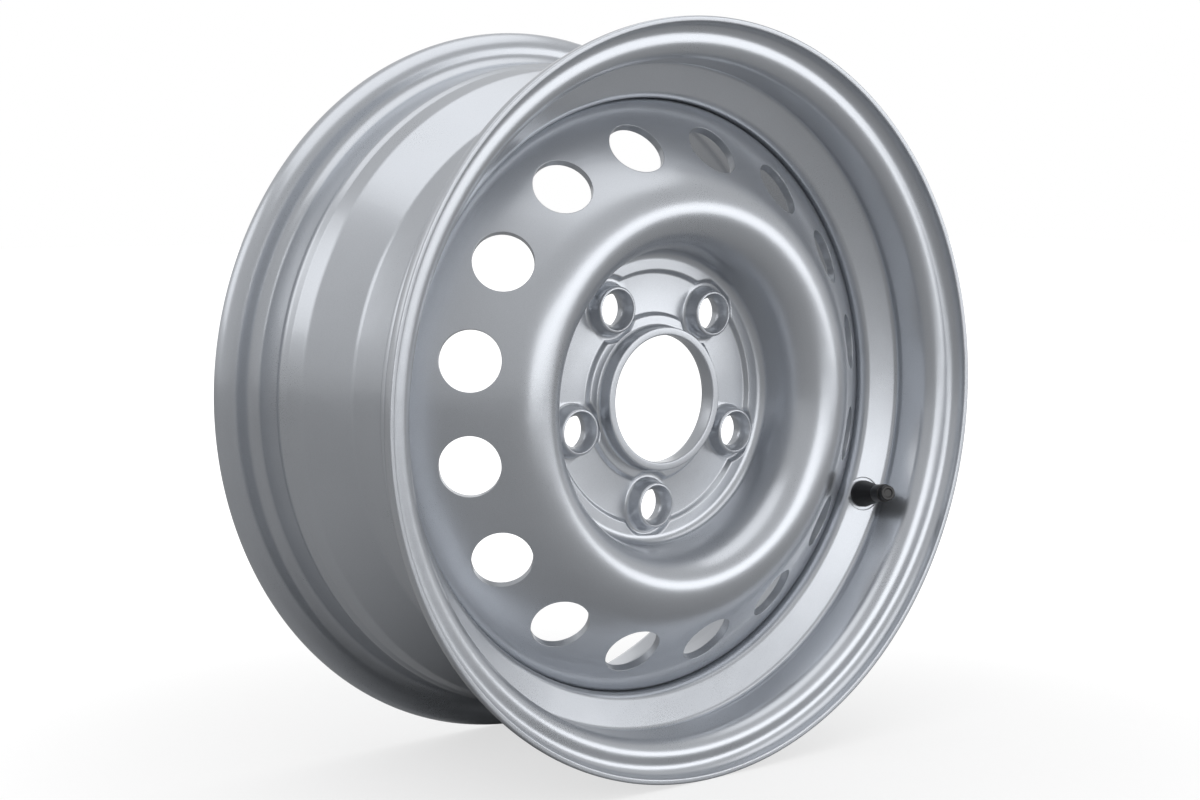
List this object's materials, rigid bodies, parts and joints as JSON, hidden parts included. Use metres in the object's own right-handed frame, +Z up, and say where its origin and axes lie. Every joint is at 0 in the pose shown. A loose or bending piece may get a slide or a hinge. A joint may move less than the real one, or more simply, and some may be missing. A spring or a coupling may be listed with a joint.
{
  "type": "steel trailer wheel",
  "caption": "Pressed steel trailer wheel: drop-centre rim, dished disc with round vents, raised bolt bosses and a collared bore, with a snap-in tyre valve and its screw cap.",
  "frame": {"origin": "centre of the bolt circle, in the plane of the hub face", "axes": "+Y along the wheel's axis, inboard; -Y outboard; +Z up; +X to the right as seen from outboard"},
  "size_m": [0.3894, 0.1622, 0.3893],
  "materials": {
    "wheel_paint": "silver-grey metallic paint, satin gloss",
    "valve_rubber": "black moulded rubber",
    "valve_brass": "turned brass",
    "seal_rubber": "black sealing rubber",
    "spring_steel": "drawn wire",
    "cap_plastic": "black moulded plastic"
  },
  "bodies": {
    "wheel": {"rim": "wheel_paint", "disc": "wheel_paint", "rim_disc_welds": "wheel_paint", "valve_rubber": "valve_rubber", "valve_stem": "valve_brass", "core_plug": "valve_brass", "core_barrel": "valve_brass", "barrel_gasket": "seal_rubber", "core_spring": "spring_steel"},
    "pin": {"core_pin": "valve_brass", "core_cup": "valve_brass", "cup_seal": "seal_rubber"},
    "seal": {"cap_seal": "seal_rubber"},
    "cap": {"valve_cap": "cap_plastic"}
  },
  "joints": [
    {"name": "pin_press", "type": "slide", "parent": "wheel", "child": "pin", "axis": [0.3453, 0.9272, -0.1452], "range_m": [0, 0.0015], "stiffness_N_per_m": 1500, "deforming": ["core_spring"]},
    {"name": "cap_lift", "type": "slide", "parent": "wheel", "child": "seal", "axis": [-0.3453, -0.9272, 0.1452], "range_m": [0, 0.00635]},
    {"name": "cap_turn", "type": "hinge", "parent": "seal", "child": "cap", "pos_m": [0.14319, -0.03422, -0.06019], "axis": [-0.3453, -0.9272, 0.1452], "range_deg": [0, 2880]}
  ],
  "couplings": [
    {"joint": "cap_turn", "follows": "cap_lift", "rad_per_m": 7913.3}
  ]
}
